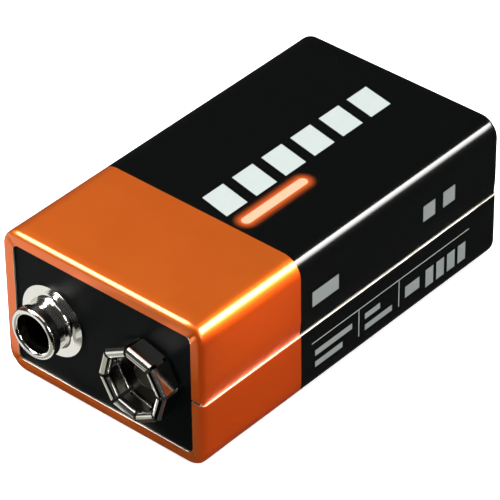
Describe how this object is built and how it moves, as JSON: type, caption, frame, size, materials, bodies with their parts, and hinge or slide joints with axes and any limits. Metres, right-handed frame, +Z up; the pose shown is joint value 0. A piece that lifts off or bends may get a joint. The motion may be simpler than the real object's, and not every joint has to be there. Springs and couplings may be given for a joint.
{
  "type": "nine volt battery",
  "caption": "Flat rectangular nine volt battery lying on a wide side, with a crimped two-tone tinplate jacket, a round snap stud and a petalled snap socket at one end.",
  "frame": {"origin": "centre of the whole outline, terminals included, on the face that it lies on", "axes": "+X across the width towards the snap socket and the lap seam, +Y from the terminals to the base, +Z up through the thickness"},
  "size_m": [0.0262, 0.0486, 0.0172],
  "materials": {
    "jacket": "gloss",
    "black_plastic": "satin",
    "nickel_plate": "bright",
    "nickel_strip": "satin",
    "cell_steel": "satin",
    "seal_nylon": "matt",
    "card": "matt",
    "liner_film": "matt"
  },
  "bodies": {
    "root": {"jacket": "jacket", "terminal_board": "black_plastic", "base_plate": "black_plastic", "positive_stud": "nickel_plate", "negative_socket": "nickel_plate", "positive_rivet": "nickel_plate", "negative_rivet": "nickel_plate", "positive_lead": "nickel_strip", "negative_lead": "nickel_strip", "top_card": "card", "bottom_card": "card", "liner": "liner_film", "cell_can_1": "cell_steel", "cell_seal_1": "seal_nylon", "cell_cap_1": "cell_steel", "cell_can_2": "cell_steel", "cell_seal_2": "seal_nylon", "cell_cap_2": "cell_steel", "cell_can_3": "cell_steel", "cell_seal_3": "seal_nylon", "cell_cap_3": "cell_steel", "cell_can_4": "cell_steel", "cell_seal_4": "seal_nylon", "cell_cap_4": "cell_steel", "cell_can_5": "cell_steel", "cell_seal_5": "seal_nylon", "cell_cap_5": "cell_steel", "cell_can_6": "cell_steel", "cell_seal_6": "seal_nylon", "cell_cap_6": "cell_steel", "front_strap_1": "nickel_strip", "front_strap_2": "nickel_strip", "back_strap_1": "nickel_strip", "back_strap_2": "nickel_strip", "back_strap_3": "nickel_strip"}
  },
  "joints": []
}
